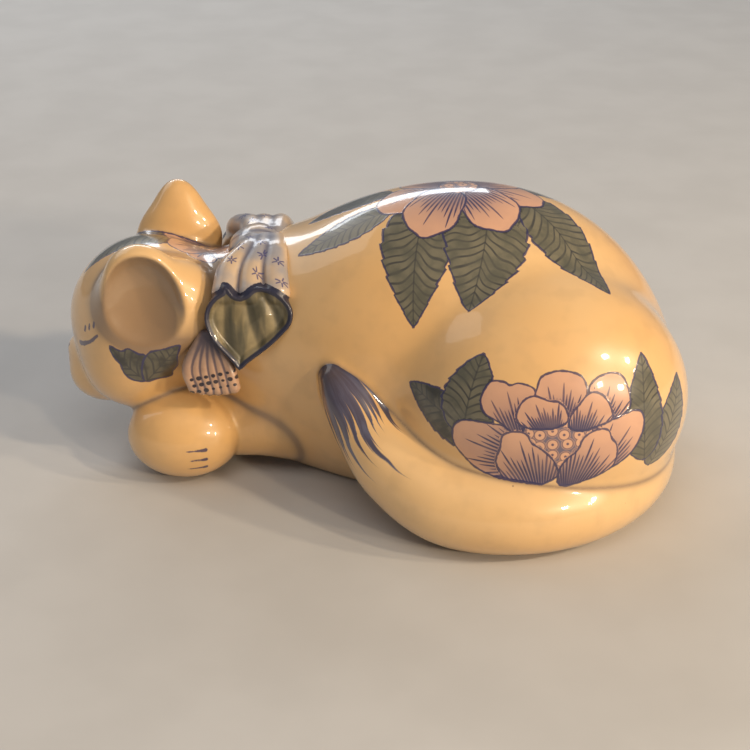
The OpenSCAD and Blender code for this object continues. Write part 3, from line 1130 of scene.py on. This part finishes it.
def knot_field(p):
    field = egg(p, (-33.5, 18, 60.5), (8.8, 10, 8.2))
    for i in range(5):
        lean = math.radians(-62 + 31 * i)
        y, z = 18 - 6.6 * math.sin(lean), 58.6 + 6.6 * math.cos(lean)
        stations = [(-39, y, z - 1.6, 2.2), (-33.5, y, z + 0.3, 3.1), (-28, y, z - 1.6, 2.2)]
        field = join(field, rope(p, spline(stations, 5)), 1.6)
    return field


FAN_TOP = np.array([-46.5, -7, 46], float)
FAN_FOOT = np.array([-45, -12.2, 32], float)
FAN_PLEATS = 6
FAN_SPREAD = 11.0


def fan_path(i):
    share = i / (FAN_PLEATS - 1) - 0.5
    top = FAN_TOP + [2.5 * share, 0, 0]
    foot = FAN_FOOT + [FAN_SPREAD * share, 0, 3 * share * share]
    middle = 0.45 * FAN_TOP + 0.55 * FAN_FOOT + [FAN_SPREAD * share - 0.8, -0.8, 0]
    return spline([(*top, 1.7), (*middle, 1.9), (*foot, 1.9)], 5)


def ribbon_field(p):
    field = rope(p, fan_path(0))
    for i in range(1, FAN_PLEATS):
        field = join(field, rope(p, fan_path(i)), 0.5)
    return field


def sprig(paint, flat, centre, size):
    """A small spray of short dashes."""
    here, a, b = flat[:3]
    best = np.full(len(a), FAR, np.float32)
    for i in range(6):
        angle = math.pi * (i + 0.2 + 0.5 * rng.random()) / 3
        reach = size * (0.7 + 0.5 * rng.random())
        dx, dy = math.cos(angle) * reach, math.sin(angle) * reach
        t = np.clip(((a - centre[0]) * dx + (b - centre[1]) * dy) / (reach * reach), 0.3, 1)
        best = np.minimum(best, np.hypot(a - centre[0] - t * dx, b - centre[1] - t * dy) - 0.2)
    paint.ink(here, best)


def pleat_valley(points, paths, reach):
    """0 in the valley between two pleats, 1 on their ridges."""
    near = np.stack([rope(points, path) for path in paths], -1)
    near.sort(-1)
    return np.clip((near[:, 1] - near[:, 0]) / reach, 0, 1)


def paint_loop(points, normals):
    paint = Paint(points, normals)
    facing, up = mouth_axes()
    q = points - MOUTH_CENTRE
    a, b = q[:, 0], q @ up
    away = heart(a, b)
    on_mouth = (q @ facing > -2.8) & (away < 0.9)
    valley = pleat_valley(points, pleat_paths(), 2.2)
    paint.map[0] = np.where(on_mouth, 0.5 + 0.5 * mouth_fold(a, b), valley)
    paint.map[1] = -away
    paint.map[2] = a
    paint.map[3] = b
    flat = Patch((-33, 0, 64), (0, -0.5, 0.86), (0, 1, 0.5), size=26).flatten(paint)
    for centre, size in [((-7, 1), 1.4), ((0.5, -3.5), 1.9), ((2, 3.5), 1.4), ((-5, 6.5), 1.6),
                         ((7.5, -6), 1.7), ((6.5, 0.5), 1.4), ((8.5, -10.5), 1.5), ((1, 8.5), 1.4),
                         ((4, -9), 1.3), ((-2.5, 11.5), 1.5)]:
        sprig(paint, flat, centre, size)
    paint.stroke[on_mouth] = FAR
    return paint, on_mouth


def paint_ribbon(points, normals):
    paint = Paint(points, normals)
    paint.map[0] = pleat_valley(points, [fan_path(i) for i in range(FAN_PLEATS)], 1.1)
    paint.map[1] = (FAN_TOP[2] + 2 - points[:, 2]) / (FAN_TOP[2] - FAN_FOOT[2] + 4)
    flat = Patch((-45, -13.5, 36), (0, -1, 0.15), (0, 0, 1), size=20).flatten(paint)
    here, a, b = flat[:3]
    for row in range(3):
        for i in range(7):
            x = (i - 3) * 2.0 + 0.7 * (row % 2)
            y = 0.8 - 1.9 * row + 0.2 * x
            paint.ink(here, np.hypot((a - x) * 0.8, b - y) - 0.36 - 0.28 * rng.random())
    paint.ink(here, np.abs(points[here, 2] - FAN_FOOT[2] + 1.3) - 0.4)
    return paint


def build_bow():
    silver, mouth, pink = silver_glaze(), mouth_glaze(), pink_glaze()
    step = 0.8

    points, quads, normals = surface(knot_field, (-46, 4, 48), (-16, 32, 74), step)
    piece = mesh_object("knot_folds", points, quads, normals[quads.ravel()], [silver])
    paint = Paint(points, normals)
    ridges = [spline([(-39, 18 - 6.8 * math.sin(t), 59 + 6.8 * math.cos(t), 3),
                      (-28, 18 - 6.8 * math.sin(t), 59 + 6.8 * math.cos(t), 3)], 2)
              for t in np.radians(-62 + 31 * np.arange(5))]
    paint.map[0] = pleat_valley(points, ridges, 1.6)
    flat = Patch((-31, 16, 69), (0, -0.2, 1), (0, 1, 0), size=20).flatten(paint)
    for centre in [(-5, -3), (1, 2), (6, -2), (-2, 7)]:
        sprig(paint, flat, centre, 1.4)
    paint.store(piece, np.arange(len(points)), 0)
    finish(piece, "bow_knot")

    points, quads, normals = surface(loop_field, (-52, -22, 34), (-16, 22, 74), step, 2)
    paint, on_mouth = paint_loop(points, normals)
    shaded = on_mouth[quads].mean(1) > 0.5
    both_sides("bow_loop", points, quads, normals, paint, [silver, mouth], shaded)

    points, quads, normals = surface(ribbon_field, (-56, -18, 27), (-34, 0, 52), step, 2)
    paint = paint_ribbon(points, normals)
    both_sides("ribbon_end", points, quads, normals, paint, [pink], None)


def both_sides(kind, points, quads, normals, paint, materials, second):
    """Build the near piece and its mirror image on the far side of the neck."""
    for side in ("left", "right"):
        if side == "right":
            points = mirrored(points, NECK_Y)
            normals = normals * FLIP_SIDES
            quads = quads[:, ::-1]
        name = side + "_" + kind + "_glazed"
        piece = mesh_object(name, points, quads, normals[quads.ravel()], materials, second)
        paint.store(piece, np.arange(len(points)), 0)
        finish(piece, side + "_" + kind)


# ---------------- stage and light
FLOOR_DARK = (0.51, 0.50, 0.485)
FLOOR_LIGHT = (0.54, 0.53, 0.515)


def build_stage():
    bpy.ops.mesh.primitive_plane_add(size=6, location=(0, 0, 0))
    floor = bpy.context.object
    floor.name = "floor"
    net = Net("floor_paper")
    net.set("Base Color", net.wash(FLOOR_DARK, net.noise(30, 3.0), 0.3, 0.7, FLOOR_LIGHT))
    net.set("Roughness", 0.9)
    floor.data.materials.append(net.material)


WARM = (1.0, 0.80, 0.56)
LAMP_DISTANCE = 1.0
# Ways from the cat to four small lamps.
LAMP_WAYS = [(0.64, -0.44, 0.63), (0.83, -0.29, 0.48), (0.59, -0.73, 0.36), (0.77, -0.58, 0.25)]


def area_light(name, place, target, size, power, colour, mirrored=True):
    data = bpy.data.lights.new(name, "AREA")
    data.shape = "RECTANGLE"
    data.size, data.size_y = size
    data.energy = power
    data.color = colour
    light = bpy.data.objects.new(name, data)
    light.location = place
    light.rotation_euler = (Vector(target) - Vector(place)).to_track_quat("-Z", "Y").to_euler()
    light.visible_camera = False
    light.visible_glossy = mirrored
    bpy.context.scene.collection.objects.link(light)


def build_light():
    world = bpy.data.worlds.new("studio")
    bpy.context.scene.world = world
    world.use_nodes = True
    world.node_tree.nodes["Background"].inputs[0].default_value = (0.88, 0.92, 1.0, 1)
    world.node_tree.nodes["Background"].inputs[1].default_value = 0.19
    middle = Vector((0.03, 0, 0.04))
    for i, way in enumerate(LAMP_WAYS):
        place = middle + Vector(way).normalized() * LAMP_DISTANCE
        area_light("lamp_%d" % i, place, middle, (0.055, 0.055), 2.8, WARM)
    area_light("window", (-0.26, 0.95, 0.66), middle, (1.0, 0.22), 4.5, (0.90, 0.95, 1.0))
    area_light("skylight", (-0.75, 0.40, 0.75), middle, (0.8, 0.7), 1.9, (1.0, 0.96, 0.92))
    area_light("fill", (-0.05, -0.55, 1.05), middle, (0.9, 0.6), 3.0, (1.0, 0.92, 0.84), False)


build_cat()
build_slab()
build_bow()
build_stage()
build_light()
bpy.context.scene.view_settings.view_transform = "Standard"
